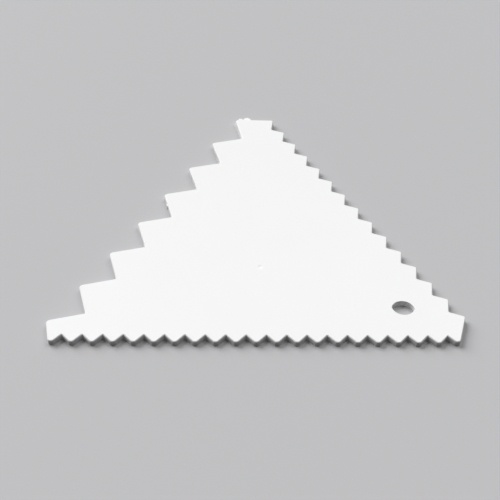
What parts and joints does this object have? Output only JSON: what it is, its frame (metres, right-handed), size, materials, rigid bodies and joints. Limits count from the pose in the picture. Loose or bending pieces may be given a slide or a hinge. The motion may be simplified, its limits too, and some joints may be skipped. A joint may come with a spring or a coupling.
{
  "type": "cake comb",
  "caption": "Flat triangular plastic icing comb with fine, medium and coarse pointed teeth along its sides and an oval hanging hole near a corner.",
  "frame": {"origin": "centre of the triangle that the tooth tips touch, on the flat underside", "axes": "+X along the fine-toothed front side towards the hanging hole, +Y towards the apex, +Z out of the upper face"},
  "size_m": [0.1257, 0.1071, 0.0021],
  "materials": {
    "white_plastic": "smooth white moulded plastic with a soft gloss"
  },
  "bodies": {
    "root": {"cake_comb": "white_plastic"}
  },
  "joints": []
}
